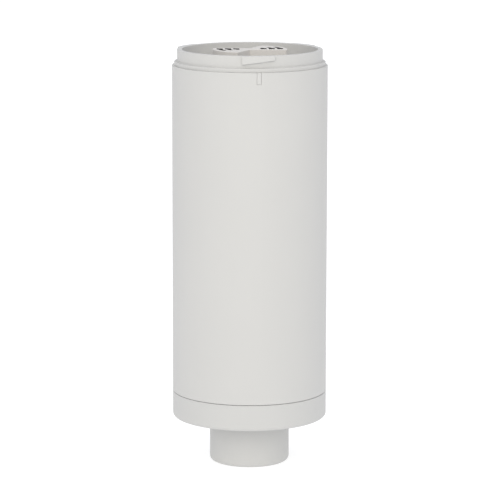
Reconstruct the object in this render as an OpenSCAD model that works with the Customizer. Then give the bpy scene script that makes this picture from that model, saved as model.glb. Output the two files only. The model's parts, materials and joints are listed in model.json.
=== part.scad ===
// Base unit of a modular signal tower. It slides onto a 25 mm pole and carries
// the light elements on its bayonet collar. A mains supply and the channel
// relays stand inside; the wire terminals face down into the foot.
// Origin: centre of the pole socket's lower end face. +Z up, -Y is the side
// with the alignment key. All lengths in millimetres.

/* [Housing] */
// Outside diameter of the housing and of the foot
housing_d = 70; // [68:0.5:76]
// Height of the housing tube between its two joint lines
housing_h = 149.0; // [140:0.1:180]
// Wall of the housing tube
wall_t = 2.6; // [2.2:0.1:2.8]
// Width of the alignment key and of its slot
key_w = 1.95; // [1.8:0.05:4]
// Length of the alignment key below the top edge
key_l = 5.2; // [4:0.1:6]

/* [Bayonet] */
// Outside diameter of the bayonet collar
collar_d = 65.4; // [64.6:0.1:66]
// Height of the collar above its step
collar_h = 5.4; // [5:0.1:6]
// Outside diameter of the centring step
step_d = 68; // [67.6:0.1:68.4]
// Height of the centring step
step_h = 1.75; // [1.6:0.05:2.4]
// Open shadow gap between the foot and the housing tube
seam_gap = 0.2; // [0.1:0.05:0.3]
// Outside radius of the three ramps
ramp_r = 33.9; // [33.6:0.05:33.95]
// Half of the angle that one ramp covers
ramp_half = 12.7; // [10:0.1:14]
// Angle from the front ramp to each of the two rear ones
ramp_spread = 125; // [118:1:130]
// Height of the ramp's low end over the step
ramp_low = 1.65; // [1.2:0.05:1.8]
// Height of the ramp's high end over the step
ramp_high = 3.45; // [2.8:0.05:3.8]

/* [Foot] */
// Outside diameter of the pole socket
spigot_d = 36.2; // [34:0.1:40]
// Height of the pole socket below the foot's underside
spigot_h = 21.0; // [20:0.5:22]
// Height of the foot's rim, from its underside to the joint line
cap_h = 11.85; // [11:0.05:14]
// Bore for the pole
pole_bore_d = 25.3; // [25.1:0.05:25.6]
// Depth of the pole bore
pole_depth = 24.0; // [23.5:0.1:24.2]
// Hole through the cable grommet
cable_d = 8; // [6:0.5:9]
// Height of the clamp screw over the socket's end face
clamp_z = 10.5; // [8:0.5:13]

/* [Contacts] */
// Radius of the contact block's two lobes
lobe_r = 16.8; // [16.2:0.1:17.2]
// Radii of the three rows of contacts
row_1 = 6.2; // [6:0.1:6.4]
row_2 = 9.9; // [9.8:0.1:10]
row_3 = 13.6; // [13.5:0.1:13.8]
// Radial width of a contact chamber
chamber_w = 2.8; // [2.6:0.1:3.0]
// Length of a contact chamber along its arc
chamber_l = 4.2; // [3.6:0.1:4.6]
// Width of the curved lead-in slots
lead_w = 1.8; // [1.4:0.1:2]

/* [Terminals] */
// Pitch of the six signal poles
signal_pitch = 5.08; // [5.0:0.02:5.16]
// Pitch of the three mains poles
mains_pitch = 7.62; // [7.5:0.02:7.7]

/* [Hidden] */
$fn = 96;
e = 0.02;

R = housing_d / 2;
Ri = R - wall_t;
z_cap = spigot_h;
z_seam = z_cap + cap_h;
z_top = z_seam + housing_h;
z_step = z_top + step_h;
z_rim = z_step + collar_h;
rs = spigot_d / 2;
rc = collar_d / 2;
rst = step_d / 2;
rb = pole_bore_d / 2;
collar_in = rc - 2.2;
skirt_r = rst + 0.15;
foot_floor = z_cap + 2.6;
foot_step = z_seam + step_h;
foot_rim = foot_step + collar_h;
flange_z = foot_rim + 1.6;
// carrier plate and what hangs below it
z_plate = z_rim - 12.6;
plate_t = 2.2;
z_block = z_plate + plate_t;
z_block_top = z_rim - 0.02;
z_cboard = z_plate - 6.4;
// chassis and the boards on it
z_chassis = 60;
z_tboard = 56.4;
z_tblock = 44.5;
z_cav = z_tblock + 4.0;
post_x = 24.5;
mb_x = 24.4;
mb_z0 = 66;
mb_z1 = 166;
rows = [row_1, row_2, row_3];
block_front = 3.3;
block_side = 1.25;
block_dir = -8;
block_cut = 60.4;
chamber_mid = -3;
carrier_holes = [for (a = [30, 150, 270]) [26 * cos(a), 26 * sin(a)]];
block_holes = [for (a = [110, 290]) [17.9 * cos(a), 17.9 * sin(a)]];
cboard_posts = [for (a = [60, 240]) [18 * cos(a), 18 * sin(a)]];
tboard_posts = [[-20, 8], [20, 8], [-20, -8], [20, -8]];

light = [0.86, 0.86, 0.845];
shade = [0.80, 0.80, 0.79];
cream = [0.80, 0.785, 0.765];
black = [0.10, 0.10, 0.11];
steel = [0.72, 0.73, 0.75];
brass = [0.80, 0.64, 0.30];
copper = [0.76, 0.44, 0.24];
green = [0.10, 0.36, 0.20];

// quarter arc from angle a0 to a1 about a centre, as points
function arc(cx, cy, r, a0, a1, n = 8) =
    [for (i = [0:n]) [cx + r * cos(a0 + (a1 - a0) * i / n), cy + r * sin(a0 + (a1 - a0) * i / n)]];

module ring(ro, ri, z0, z1) {
    translate([0, 0, z0]) difference() {
        cylinder(r = ro, h = z1 - z0);
        translate([0, 0, -1]) cylinder(r = ri, h = z1 - z0 + 2);
    }
}

module box(x0, x1, y0, y1, z0, z1) {
    translate([x0, y0, z0]) cube([x1 - x0, y1 - y0, z1 - z0]);
}

// the three bayonet ramps above a step at height z0
module ramps(z0) {
    w = ramp_r * sin(ramp_half);
    for (a = [0, ramp_spread, -ramp_spread]) rotate([0, 0, a]) intersection() {
        ring(ramp_r, rc - 0.9, z0 + 0.2, z0 + collar_h);
        translate([0, -20, z0]) rotate([90, 0, 0]) linear_extrude(height = 20)
            polygon([[-w, ramp_low], [w, ramp_high], [w, collar_h], [-w, collar_h]]);
    }
}

// sector of a ring between two angles measured from -Y towards +X
module ring_sector(ro, ri, z0, z1, a0, a1) {
    intersection() {
        ring(ro, ri, z0, z1);
        translate([0, 0, z0 - 1]) linear_extrude(height = z1 - z0 + 2)
            polygon([[0, 0], [60 * sin(a0), -60 * cos(a0)], [60 * sin(a1), -60 * cos(a1)]]);
    }
}

// sector of a ring between two plan angles, as a 2D shape
module arc_slot(r, w, a0, a1) {
    intersection() {
        difference() { circle(r = r + w / 2); circle(r = r - w / 2); }
        polygon([[0, 0], [40 * cos(a0), 40 * sin(a0)], [40 * cos(a1), 40 * sin(a1)]]);
    }
}

// pan-head screw, head up, its head's underside at z = 0
module pan_screw(d, l, hd, hh) {
    difference() {
        union() {
            translate([0, 0, -l]) cylinder(r = d / 2, h = l + e);
            rotate_extrude() polygon([[0, 0], [hd / 2, 0], [hd / 2, hh * 0.45],
                [hd / 2 * 0.82, hh * 0.85], [hd / 2 * 0.5, hh], [0, hh]]);
        }
        for (a = [0, 90]) rotate([0, 0, a])
            translate([-hd * 0.3, -hd * 0.07, hh * 0.35]) cube([hd * 0.6, hd * 0.14, hh]);
    }
}

/* ---------- foot ---------- */

module tube_foot() {
    color(shade) difference() {
        union() {
            rotate_extrude() polygon(concat(
                [[rb + 0.8, 0]],
                arc(rs - 2.5, 2.5, 2.5, -90, 0),
                [[rs, z_cap - 0.4], [rs + 0.4, z_cap]],
                arc(R - 1.6, z_cap + 1.6, 1.6, -90, 0),
                [[R, z_seam - 0.25], [R - 0.25, z_seam], [rst, z_seam],
                 [rst, foot_step - 0.3], [rst - 0.3, foot_step], [rc, foot_step],
                 [rc, foot_rim - 0.25], [rc - 0.25, foot_rim], [collar_in, foot_rim],
                 [collar_in, foot_floor], [16.6, foot_floor], [16.6, 26.6], [10.3, 26.6],
                 [10.3, 25.2], [11.6, 25.2], [11.6, pole_depth], [rb, pole_depth], [rb, 0.8]]));
            ramps(foot_step);
            for (a = [30:60:330]) rotate([0, 0, a]) box(16.2, collar_in + 0.2, -0.8, 0.8, foot_floor - 0.2, 27);
        }
        translate([0, rb - 2, clamp_z]) rotate([-90, 0, 0]) cylinder(r = 3.3, h = 12);
    }
}

module thread_insert() {
    color(brass) difference() {
        union() {
            translate([0, rb + 0.3, clamp_z]) rotate([-90, 0, 0]) cylinder(r = 3.1, h = 4.8);
            for (y = [rb + 0.3, rb + 3.6]) translate([0, y, clamp_z]) rotate([-90, 0, 0]) cylinder(r = 3.25, h = 1.5);
        }
        translate([0, rb - 1, clamp_z]) rotate([-90, 0, 0]) cylinder(r = 2.5, h = 8);
    }
}

module clamp_screw() {
    color(steel) difference() {
        translate([0, rb + 1.1, clamp_z]) rotate([-90, 0, 0]) cylinder(r = 2.45, h = 3.85);
        translate([0, rb + 2.9, clamp_z]) rotate([-90, 0, 0]) cylinder(r = 1.44, h = 3, $fn = 6);
    }
}

module clamp_pad() {
    color(cream) translate([0, rb + 0.35, clamp_z]) rotate([-90, 0, 0]) cylinder(r = 2.1, h = 0.75);
}

module cable_grommet() {
    color(black) rotate_extrude() polygon([[cable_d / 2, 24.1], [11.45, 24.1], [11.45, 25.1], [10.2, 25.1],
        [10.2, 26.65], [12.6, 26.65], [12.9, 27.0], [12.6, 27.9], [8.6, 27.9], [6.2, 29.2],
        [cable_d / 2 + 1.1, 31], [cable_d / 2, 31]]);
}

/* ---------- housing ---------- */

module housing_tube() {
    color(light) difference() {
        union() {
            rotate_extrude() polygon([[skirt_r, z_seam + seam_gap], [R - 0.15, z_seam + seam_gap], [R, z_seam + seam_gap + 0.15],
                [R, z_top - 0.25], [R - 0.25, z_top], [Ri, z_top],
                [Ri, z_top - 4.5], [Ri + 0.45, z_top - 5.0], [Ri + 0.45, z_top - 6.2], [Ri, z_top - 6.7],
                [Ri, flange_z + 1.8], [30.6, flange_z + 1.8], [30.6, flange_z], [skirt_r, flange_z]]);
            for (a = [0, ramp_spread, -ramp_spread]) rotate([0, 0, a])
                ring_sector(skirt_r + 0.2, rc + 0.15, foot_step, foot_step + ramp_low - 0.14, -12.4, -3.6);
        }
        box(-key_w / 2 - 0.04, key_w / 2 + 0.04, -R - 1, -Ri + 1, z_top - key_l, z_top + 1);
    }
}

module socket_gasket() {
    color(black) ring(skirt_r - 0.1, collar_in + 0.25, foot_rim + 0.1, flange_z);
}

module bayonet_collar() {
    color(light) difference() {
        union() {
            rotate_extrude() polygon([[28.3, z_plate - 2.4], [Ri - 0.1, z_plate - 2.4],
                [Ri - 0.1, z_top - 6.4], [Ri + 0.3, z_top - 6.0], [Ri + 0.3, z_top - 5.2], [Ri - 0.1, z_top - 4.7],
                [Ri - 0.1, z_top], [rst, z_top], [rst, z_step - 0.3], [rst - 0.3, z_step],
                [rc, z_step], [rc, z_rim - 0.25], [rc - 0.25, z_rim], [collar_in + 0.25, z_rim],
                [collar_in, z_rim - 0.25], [collar_in, z_plate], [28.3, z_plate]]);
            ramps(z_step);
            intersection() {
                translate([0, 0, z_top - key_l]) cylinder(r = R - 0.03, h = key_l);
                box(-key_w / 2 + 0.04, key_w / 2 - 0.04, -R - 1, -Ri + 0.6, z_top - key_l + 0.08, z_top - 0.05);
            }
            for (a = [30, 150, 270]) rotate([0, 0, a]) {
                translate([26, 0, z_plate - 9]) cylinder(r = 3.1, h = 9);
                box(26, 30, -1.5, 1.5, z_plate - 2.4, z_plate);
            }
        }
        for (p = carrier_holes) translate([p[0], p[1], z_plate - 8]) cylinder(r = 1.3, h = 10);
    }
}

module contact_carrier() {
    color(cream) difference() {
        union() {
            translate([0, 0, z_plate]) cylinder(r = collar_in - 0.15, h = plate_t);
            for (p = block_holes) translate([p[0], p[1], z_plate - 4]) cylinder(r = 2.6, h = 4.5);
            for (p = cboard_posts) translate([p[0], p[1], z_cboard + 1.6]) cylinder(r = 2.8, h = 5);
            ring(collar_in - 0.15, collar_in - 1.35, z_block - 0.5, z_block + 1.2);
        }
        translate([0, 0, z_plate - 1]) cylinder(r = 14.9, h = 6);
        for (p = carrier_holes) translate([p[0], p[1], z_plate - 1]) cylinder(r = 1.7, h = 6);
        for (s = [-1, 1]) translate([s * post_x, 0, z_plate - 1]) cylinder(r = 1.7, h = 6);
        for (p = block_holes) translate([p[0], p[1], z_plate - 3.4]) cylinder(r = 1.05, h = 8);
        for (p = cboard_posts) translate([p[0], p[1], z_cboard + 1]) cylinder(r = 1.05, h = 5);
    }
}

module carrier_screws() {
    color(steel) for (p = carrier_holes) translate([p[0], p[1], z_block]) pan_screw(2.5, 8, 5.4, 1.9);
}

// one lobe of the contact block, seen from above
module lobe_2d() {
    intersection() {
        circle(r = lobe_r);
        rotate(block_dir) translate([-30, -block_front]) square([60, 60]);
        rotate(block_cut) translate([-30, -60 + block_side]) square([60, 60]);
    }
}

function chamber_half(r) = chamber_l / 2 / r * 180 / PI;

module contact_block() {
    color(cream) difference() {
        union() {
            translate([0, 0, z_block]) cylinder(r = 20.5, h = 1.8);
            translate([0, 0, z_block + 0.4]) linear_extrude(height = z_block_top - z_block - 0.4) union() {
                lobe_2d();
                rotate(180) lobe_2d();
            }
        }
        for (s = [0, 180], r = rows) {
            translate([0, 0, z_block - 1]) linear_extrude(height = 14) rotate(s)
                arc_slot(r, chamber_w, chamber_mid - chamber_half(r), chamber_mid + chamber_half(r));
            translate([0, 0, z_block_top - 5]) linear_extrude(height = 7) rotate(s)
                arc_slot(r, lead_w, chamber_mid, 30);
        }
        for (p = block_holes) translate([p[0], p[1], z_block - 1]) cylinder(r = 1.35, h = 4);
    }
}

module contact_block_screws() {
    color(steel) for (p = block_holes) translate([p[0], p[1], z_block + 1.8]) pan_screw(2, 5.2, 4.4, 1.6);
}

spring_line = [[0.85, z_cboard - 0.8], [0.85, z_block + 1.8], [0.55, z_block + 3.0], [-0.35, z_block + 4.2],
    [-0.5, z_block + 4.8], [-0.35, z_block + 5.4], [0.55, z_block + 6.6]];
spring_shape = concat(spring_line, [for (i = [len(spring_line) - 1:-1:0]) spring_line[i] + [-0.35, 0]]);

// contact spring in row k of the lobe turned by s
module contact_spring(k, s) {
    color(brass) rotate([0, 0, s + chamber_mid]) translate([rows[k], 0, 0])
        translate([0, 1.2, 0]) rotate([90, 0, 0]) linear_extrude(height = 2.4) polygon(spring_shape);
}

module contact_board() {
    color(green) difference() {
        translate([0, 0, z_cboard]) cylinder(r = 21.5, h = 1.6);
        for (s = [0, 180], r = rows) rotate([0, 0, s + chamber_mid]) translate([r, 0, 0])
            box(0.3, 1.05, -1.4, 1.4, z_cboard - 1, z_cboard + 3);
        for (p = cboard_posts) translate([p[0], p[1], z_cboard - 1]) cylinder(r = 1.3, h = 4);
    }
}

module contact_board_screws() {
    color(steel) for (p = cboard_posts) translate([p[0], p[1], z_cboard]) rotate([180, 0, 0]) pan_screw(2, 5, 4.4, 1.6);
}

/* ---------- chassis and boards ---------- */

module chassis_frame() {
    color(black) difference() {
        union() {
            difference() {
                translate([0, 0, z_chassis]) cylinder(r = 29.8, h = 2.4);
                box(-14, 14, -2, 8, z_chassis - 1, z_chassis + 4);
                for (s = [-1, 1]) translate([s * 9, -14 * s, z_chassis - 1]) cylinder(r = 4, h = 5);
            }
            for (s = [-1, 1]) scale([1, 1, 1]) translate([s * 25.05, 0, 0])
                box(-2.55, 2.55, -3, 3, z_chassis + 1, z_plate);
            for (p = tboard_posts) translate([p[0], p[1], z_tboard + 1.6]) cylinder(r = 2.6, h = 3);
            difference() {
                box(-10, 10, -25, -16.2, 46, z_chassis + 1);
                translate([0, -16, 40]) cylinder(r = 4.2, h = 15);
            }
        }
        box(-mb_x - 0.1, mb_x + 0.1, -0.85, 0.85, mb_z0 - 0.2, mb_z1 + 0.2);
        for (s = [-1, 1]) translate([s * post_x, 0, z_plate - 8]) cylinder(r = 1.25, h = 12);
        for (p = tboard_posts) translate([p[0], p[1], z_tboard]) cylinder(r = 1.0, h = 5.4);
        for (s = [-1, 1]) translate([s * 7, -24, 50.5]) rotate([-90, 0, 0]) cylinder(r = 1.05, h = 12);
    }
}

module chassis_screws() {
    color(steel) for (s = [-1, 1]) translate([s * post_x, 0, z_block]) pan_screw(2.4, 8, 5.0, 1.8);
}

module main_board() {
    color(green) box(-mb_x, mb_x, -0.8, 0.8, mb_z0, mb_z1);
}

module terminal_board() {
    color(green) difference() {
        translate([0, 0, z_tboard]) cylinder(r = 27, h = 1.6);
        box(-11, 11, -30, -12.5, z_tboard - 1, z_tboard + 3);
        for (p = tboard_posts) translate([p[0], p[1], z_tboard - 1]) cylinder(r = 1.3, h = 4);
    }
}

module terminal_board_screws() {
    color(steel) for (p = tboard_posts) translate([p[0], p[1], z_tboard]) rotate([180, 0, 0]) pan_screw(1.9, 4.6, 3.8, 1.4);
}

module upper_header() {
    color(black) box(-10, 10, 0.8, 5.4, 160, 166.8);
    color(brass) for (i = [-3:3]) box(i * 2.54 - 0.32, i * 2.54 + 0.32, 2.9, 3.54, 166.8, z_cboard);
}

module lower_header() {
    color(black) box(-12, 12, 0.8, 5.4, 66, 72);
    color(brass) for (i = [-4:4]) box(i * 2.54 - 0.32, i * 2.54 + 0.32, 2.9, 3.54, z_tboard + 1.6, 66);
}

/* ---------- supply and relays ---------- */

module transformer_core() {
    color([0.16, 0.16, 0.17]) difference() {
        box(-13, 13, -15, -7, 75, 101);
        for (s = [-1, 1]) translate([s * 7.05, 0, 0]) box(-3.55, 3.55, -16, -6, 78.9, 97.1);
    }
}

module transformer_coil() {
    color([0.85, 0.72, 0.20]) difference() {
        box(-10.5, 10.5, -18.6, -3.4, 79, 97);
        box(-3.6, 3.6, -15.1, -6.9, 78, 98);
    }
    color(steel) for (x = [-7.5, -2.5, 2.5, 7.5], z = [81, 95]) translate([x, -0.8, z]) rotate([90, 0, 0]) cylinder(r = 0.4, h = 2.6);
}

module bulk_capacitor() {
    color([0.13, 0.15, 0.22]) translate([-11, 9.3, 108]) rotate_extrude()
        polygon([[0, 0], [7.6, 0], [8, 0.4], [8, 1.6], [7.6, 2.1], [8, 2.6], [8, 24.6], [7.6, 25], [0, 25]]);
}

module output_capacitors() {
    color([0.13, 0.15, 0.22]) for (x = [-8, 8]) translate([x, -6, 106]) rotate_extrude()
        polygon([[0, 0], [4.7, 0], [5, 0.3], [5, 1.2], [4.7, 1.6], [5, 2], [5, 15.7], [4.7, 16], [0, 16]]);
}

module filter_choke() {
    color(copper) translate([-11, 5.1, 85]) rotate([90, 0, 0]) rotate_extrude() translate([7, 0]) circle(r = 3.6);
}

module film_capacitor() {
    color([0.75, 0.68, 0.20]) box(3, 21, 0.8, 10.8, 76, 91);
}

module fuse_link() {
    color(steel) for (s = [-1, 1]) translate([-10.5 + s * 7.4 - 2.5, 4.6, 100]) rotate([0, 90, 0]) cylinder(r = 2.6, h = 5);
    color([0.85, 0.9, 0.9]) translate([-15.4 + e, 4.6, 100]) rotate([0, 90, 0]) cylinder(r = 2.3, h = 9.8 - 2 * e);
}

module fuse_clips() {
    color(steel) for (s = [-1, 1]) translate([-10.5 + s * 7.4, 0, 100]) difference() {
        box(-1.8, 1.8, 0.8, 6.6, -3.4, 3.4);
        translate([-5, 4.6, 0]) rotate([0, 90, 0]) cylinder(r = 2.7, h = 10);
        box(-5, 5, 4.6, 8, -1.9, 1.9);
    }
}

module varistor() {
    color([0.18, 0.36, 0.66]) translate([12, 1.6, 99]) rotate([-90, 0, 0]) cylinder(r = 5, h = 3.8);
}

module heat_sink() {
    color([0.22, 0.22, 0.23]) {
        difference() {
            union() {
                box(3, 21, 6.4, 8.6, 110, 136);
                for (i = [0:5]) box(3 + i * 3.32, 4.4 + i * 3.32, 8.4, 17, 110, 136);
                for (x = [3, 19.6]) box(x, x + 1.4, 0.8, 6.6, 110, 136);
            }
            translate([12, 5, 128]) rotate([-90, 0, 0]) cylinder(r = 1.35, h = 5);
        }
    }
}

module power_transistor() {
    color(black) box(7, 17, 1.8, 5.1, 114, 123.5);
    color(steel) for (x = [9.46, 12, 14.54]) {
        box(x - 0.3, x + 0.3, 2.8, 3.2, 110.6, 114);
        box(x - 0.3, x + 0.3, 0.8, 3.0, 110.6, 111);
    }
    color(steel) difference() {
        box(7, 17, 5.1, 6.4, 114, 130.5);
        translate([12, 4, 128]) rotate([-90, 0, 0]) cylinder(r = 1.6, h = 4);
    }
}

module transistor_screw() {
    color(steel) translate([12, 5.1, 128]) rotate([90, 0, 0]) pan_screw(2.5, 4.2, 4.8, 1.8);
}

module channel_relays() {
    color([0.93, 0.60, 0.18]) for (i = [-2:2]) box(i * 9 - 3, i * 9 + 3, -15.8, -0.8, 140, 160);
}

module optocouplers() {
    color(black) for (i = [-2:2]) box(i * 9 - 2.3, i * 9 + 2.3, -4.4, -1.0, 128.5, 135);
    color(steel) for (i = [-2:2], x = [-1.27, 1.27], z = [127.6, 135])
        box(i * 9 + x - 0.25, i * 9 + x + 0.25, -2.9, -0.8, z, z + 0.9);
}

/* ---------- wire terminals ---------- */

module terminal(n, pitch, y0, y1, wire_y, wire_r, btn_y, btn_w, btn_d, cav_w) {
    w = n * pitch + 2;
    difference() {
        box(-w / 2, w / 2, y0, y1, z_tblock, z_tboard);
        for (i = [0:n - 1]) translate([(i - (n - 1) / 2) * pitch, 0, 0]) {
            translate([0, wire_y, z_tblock - 1]) cylinder(r = wire_r, h = 6);
            translate([0, wire_y, z_tblock - 0.01]) cylinder(r1 = wire_r + 0.5, r2 = wire_r, h = 0.8, $fn = 48);
            box(-btn_w / 2 - 0.15, btn_w / 2 + 0.15, btn_y - btn_d / 2 - 0.15, btn_y + btn_d / 2 + 0.15, z_tblock - 1, z_tblock + 5);
            box(-cav_w / 2, cav_w / 2, y0 + 1.2, y1 - 1.2, z_cav, z_tboard + 1);
        }
    }
}

// sprung clamp of one pole: a folded strip whose tail presses on the wire
function clamp_shape(y0, y1, t) = [
    [y0, z_tboard - 0.3], [y1, z_tboard - 0.3], [y1, z_cav + 2.3], [y0 + 4.6, z_cav + 2.3],
    [y0 + 1.0, z_cav + 4.4], [y0 + 1.2, z_cav + 4.4 + t], [y0 + 4.7, z_cav + 2.3 + t],
    [y1 - t, z_cav + 2.3 + t], [y1 - t, z_tboard - 0.3 - t], [y0, z_tboard - 0.3 - t]];

module clamp_strip(y0, y1, w, t) {
    rotate([90, 0, 90]) translate([0, 0, -w / 2]) linear_extrude(height = w) polygon(clamp_shape(y0, y1, t));
}

// sprung release button: a shoulder inside the housing keeps it in
module button(x, y, w, d) {
    difference() {
        union() {
            box(x - w / 2, x + w / 2, y - d / 2, y + d / 2, z_tblock - 1.3, z_cav + 0.4);
            box(x - w / 2 - 0.3, x + w / 2 + 0.3, y - d / 2 - 0.35, y + d / 2 + 0.35, z_cav + 0.05, z_cav + 0.75);
        }
        box(x - w / 2 + 0.5, x + w / 2 - 0.5, y - 0.3, y + 0.3, z_tblock - 2, z_tblock - 0.8);
    }
}

module signal_terminal() { color([0.35, 0.37, 0.38]) terminal(6, signal_pitch, 8.4, 21, 12, 1.6, 17.2, 2.8, 2.8, 3.7); }
module signal_clamps() { color(steel) for (i = [0:5]) translate([(i - 2.5) * signal_pitch, 0, 0]) clamp_strip(9.9, 19.4, 3.2, 0.4); }
module signal_button(i) { color([0.93, 0.45, 0.12]) button((i - 2.5) * signal_pitch, 17.2, 2.8, 2.8); }
module mains_terminal() { color([0.20, 0.42, 0.30]) terminal(3, mains_pitch, -7.8, 6.2, -3.6, 2.1, 2.0, 4.2, 3.2, 5.6); }
module mains_clamps() { color(steel) for (i = [0:2]) translate([(i - 1) * mains_pitch, 0, 0]) clamp_strip(-6.3, 4.7, 5, 0.5); }
module mains_button(i) { color([0.93, 0.45, 0.12]) button((i - 1) * mains_pitch, 2.0, 4.2, 3.2); }

module cable_saddle() {
    color(cream) difference() {
        box(-9.5, 9.5, -15.7, -10.6, 47, 54);
        translate([0, -16, 40]) cylinder(r = 4.2, h = 20);
        for (s = [-1, 1]) translate([s * 7, -20, 50.5]) rotate([-90, 0, 0]) cylinder(r = 1.4, h = 12);
    }
}

module saddle_screws() {
    color(steel) for (s = [-1, 1]) translate([s * 7, -10.6, 50.5]) rotate([-90, 0, 0]) pan_screw(2, 12, 4, 1.6);
}

tube_foot();
thread_insert();
clamp_screw();
clamp_pad();
cable_grommet();
housing_tube();
socket_gasket();
bayonet_collar();
contact_carrier();
carrier_screws();
contact_block();
contact_block_screws();
contact_spring(0, 0);  // contact_spring_1
contact_spring(1, 0);  // contact_spring_2
contact_spring(2, 0);  // contact_spring_3
contact_spring(0, 180);  // contact_spring_4
contact_spring(1, 180);  // contact_spring_5
contact_spring(2, 180);  // contact_spring_6
chassis_frame();
chassis_screws();
contact_board();
contact_board_screws();
main_board();
terminal_board();
terminal_board_screws();
upper_header();
lower_header();
transformer_core();
transformer_coil();
bulk_capacitor();
output_capacitors();
filter_choke();
film_capacitor();
fuse_link();
fuse_clips();
varistor();
heat_sink();
power_transistor();
transistor_screw();
channel_relays();
optocouplers();
signal_terminal();
signal_clamps();
signal_button(0);  // signal_button_1
signal_button(1);  // signal_button_2
signal_button(2);  // signal_button_3
signal_button(3);  // signal_button_4
signal_button(4);  // signal_button_5
signal_button(5);  // signal_button_6
mains_terminal();
mains_clamps();
mains_button(0);  // mains_button_1
mains_button(1);  // mains_button_2
mains_button(2);  // mains_button_3
cable_saddle();
saddle_screws();
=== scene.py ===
# Base unit of a modular signal tower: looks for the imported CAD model. Metres, +Z up, the alignment key on -Y.
import json
import math
from math import sin, cos, pi, radians, asin, sqrt

import bmesh
import bpy
from mathutils import Vector, Matrix


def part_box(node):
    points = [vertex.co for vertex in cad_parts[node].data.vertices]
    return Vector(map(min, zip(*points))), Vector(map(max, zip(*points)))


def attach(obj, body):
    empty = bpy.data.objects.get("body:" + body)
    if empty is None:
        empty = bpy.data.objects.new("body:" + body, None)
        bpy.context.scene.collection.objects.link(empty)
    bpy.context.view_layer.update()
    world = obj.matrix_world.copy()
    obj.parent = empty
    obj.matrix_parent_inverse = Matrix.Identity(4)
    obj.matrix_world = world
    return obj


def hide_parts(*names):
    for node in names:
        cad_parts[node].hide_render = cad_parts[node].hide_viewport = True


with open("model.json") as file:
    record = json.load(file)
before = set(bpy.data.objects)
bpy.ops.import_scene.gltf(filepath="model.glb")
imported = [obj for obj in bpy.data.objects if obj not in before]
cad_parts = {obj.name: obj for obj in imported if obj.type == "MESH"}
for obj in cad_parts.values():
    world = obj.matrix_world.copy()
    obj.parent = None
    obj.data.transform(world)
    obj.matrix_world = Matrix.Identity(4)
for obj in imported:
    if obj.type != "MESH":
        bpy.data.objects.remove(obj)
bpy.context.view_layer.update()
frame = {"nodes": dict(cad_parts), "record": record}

MM = 0.001
scene = bpy.context.scene
NODES = frame["nodes"]
BODY_OF = {n: b for b, ns in frame["record"]["behaviour"]["bodies"].items() for n in ns}
SLOT_OF = {s["node"]: s["material_slot"] for s in frame["record"]["subparts"]}

# ---------------------------------------------------------------- sizes, mm
lo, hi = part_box("housing_tube")
R = (hi.x - lo.x) / 2 / MM
SEAM_GAP = 0.2
Z_SEAM = lo.z / MM - SEAM_GAP
Z_TOP = hi.z / MM
RI = R - 2.6
Z_CAP = 21.0
RS = 18.1
RB = 12.65
RC = 32.7
RST = 34.0
RR = 33.9
COLLAR_IN = RC - 2.2
SKIRT = RST + 0.15
STEP_H = 1.75
COLLAR_H = 5.4
Z_STEP = Z_TOP + STEP_H
Z_RIM = Z_STEP + COLLAR_H
FOOT_STEP = Z_SEAM + STEP_H
FOOT_RIM = FOOT_STEP + COLLAR_H
FLANGE = FOOT_RIM + 1.6
Z_PLATE = Z_RIM - 12.6
Z_BLOCK = Z_PLATE + 2.2
Z_BTOP = Z_RIM - 0.02
Z_CB = Z_PLATE - 6.4
RAMP_HALF = 12.7
RAMP_AT = (0.0, 125.0, 235.0)
RAMP_LOW, RAMP_HIGH = 1.65, 3.45
ROWS = (6.2, 9.9, 13.6)
CHAMBER_MID = -3.0


# ---------------------------------------------------------------- mesh tools
def to_object(name, verts, faces):
    me = bpy.data.meshes.new(name)
    me.from_pydata([(x * MM, y * MM, z * MM) for x, y, z in verts], [], faces)
    me.validate()
    me.update()
    ob = bpy.data.objects.new(name, me)
    scene.collection.objects.link(ob)
    return ob


def fillet(points, radius, n=3):
    """Closed polygon with its corners rounded. A point may carry its own radius as a third number."""
    out = []
    count = len(points)
    for i in range(count):
        p = points[i]
        r = p[2] if len(p) > 2 else radius
        a = Vector(points[i - 1][:2])
        b = Vector(p[:2])
        c = Vector(points[(i + 1) % count][:2])
        u, v = (a - b), (c - b)
        lu, lv = u.length, v.length
        if r <= 0 or lu < 1e-9 or lv < 1e-9:
            out.append((b.x, b.y))
            continue
        u, v = u / lu, v / lv
        ang = u.angle(v)
        if abs(ang - pi) < 0.02:
            out.append((b.x, b.y))
            continue
        t = r / math.tan(ang / 2)
        t = min(t, lu * 0.46, lv * 0.46)
        rr = t * math.tan(ang / 2)
        bis = (u + v).normalized()
        centre = b + bis * (rr / sin(ang / 2))
        s, e = b + u * t, b + v * t
        a0 = math.atan2(s.y - centre.y, s.x - centre.x)
        a1 = math.atan2(e.y - centre.y, e.x - centre.x)
        d = (a1 - a0 + pi) % (2 * pi) - pi
        for k in range(n + 1):
            q = a0 + d * k / n
            out.append((centre.x + rr * cos(q), centre.y + rr * sin(q)))
    return out


def columns_mesh(name, columns):
    """Closed ring: one closed (r, z) profile per angle, all with the same number of points."""
    n, m = len(columns[0][1]), len(columns)
    verts, faces = [], []
    for th, prof in columns:
        c, s = cos(th), sin(th)
        verts += [(r * c, r * s, z) for r, z in prof]
    for i in range(m):
        j = (i + 1) % m
        for k in range(n):
            q = (k + 1) % n
            faces.append((i * n + k, j * n + k, j * n + q, i * n + q))
    return to_object(name, verts, faces)


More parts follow.
